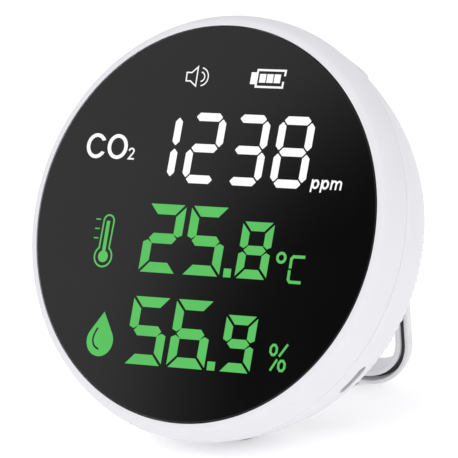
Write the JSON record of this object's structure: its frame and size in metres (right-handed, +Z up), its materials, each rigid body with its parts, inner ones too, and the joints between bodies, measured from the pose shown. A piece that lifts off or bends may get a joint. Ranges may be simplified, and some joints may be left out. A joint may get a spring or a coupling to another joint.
{
  "type": "carbon dioxide monitor",
  "caption": "Round desktop air monitor with a smoked display window, side button, USB inlet and a fold-out U-shaped stand hinged in its back.",
  "frame": {"origin": "centre of the base pad's flat face, on the table", "axes": "+Z up, +X to the right as seen by someone reading the display, +Y away from them; the face leans back 26.2 degrees"},
  "size_m": [0.108, 0.0722, 0.1027],
  "materials": {
    "white_plastic": "fine satin moulded plastic",
    "grey_plastic": "satin moulded plastic",
    "smoked_window": "polished, almost opaque smoke",
    "black_tape": "dull foam tape",
    "diffuser_film": "frosted film",
    "reflector_white": "moulded white",
    "green_board": "solder mask",
    "dark_board": "solder mask",
    "black_plastic": "moulded black",
    "bright_steel": "plated steel",
    "gold_plating": "gold-plated cover",
    "filter_membrane": "porous white membrane",
    "battery_foil": "crimped foil pouch",
    "sensor_resin": "moulded resin",
    "red_insulation": "wire insulation",
    "grey_rubber": "dull rubber",
    "display_white_light": "lit window area, white",
    "display_green_light": "lit window area, green"
  },
  "bodies": {
    "case": {"front_lens": "smoked_window", "lens_adhesive": "black_tape", "diffuser_film": "diffuser_film", "front_housing": "white_plastic", "display_reflector": "reflector_white", "display_board": "green_board", "display_header_left": "black_plastic", "display_header_right": "black_plastic", "main_board": "green_board", "board_screw_1": "bright_steel", "board_screw_2": "bright_steel", "board_screw_3": "bright_steel", "microcontroller": "black_plastic", "power_inductor": "black_plastic", "charger_chip": "black_plastic", "buzzer": "black_plastic", "climate_sensor": "sensor_resin", "co2_sensor_board": "dark_board", "co2_sensor_chamber": "gold_plating", "co2_sensor_filter": "filter_membrane", "battery_tape": "black_tape", "battery": "battery_foil", "battery_socket": "reflector_white", "battery_wire_positive": "red_insulation", "battery_wire_negative": "black_plastic", "usb_shell": "bright_steel", "usb_tongue": "black_plastic", "button_switch": "bright_steel", "rear_housing": "white_plastic", "housing_screw_1": "bright_steel", "housing_screw_2": "bright_steel", "housing_screw_3": "bright_steel", "housing_screw_4": "bright_steel", "base_pad": "grey_rubber"},
    "stand": {"stand": "grey_plastic", "hinge_pin_right": "bright_steel", "hinge_pin_left": "bright_steel", "hinge_washer_right": "grey_rubber", "hinge_washer_left": "grey_rubber", "stand_foot_pad": "grey_rubber"},
    "side_button": {"side_button": "white_plastic", "switch_plunger": "black_plastic"}
  },
  "joints": [
    {"name": "stand_hinge", "type": "hinge", "parent": "case", "child": "stand", "pos_m": [0, 0.03482, 0.06547], "axis": [1, 0, 0], "range_deg": [-34.75, 0]},
    {"name": "button_press", "type": "slide", "parent": "case", "child": "side_button", "axis": [-0.5075, -0.3804, -0.7731], "range_m": [0, 0.0004], "stiffness_N_per_m": 600, "springref_m": -0.0003}
  ]
}
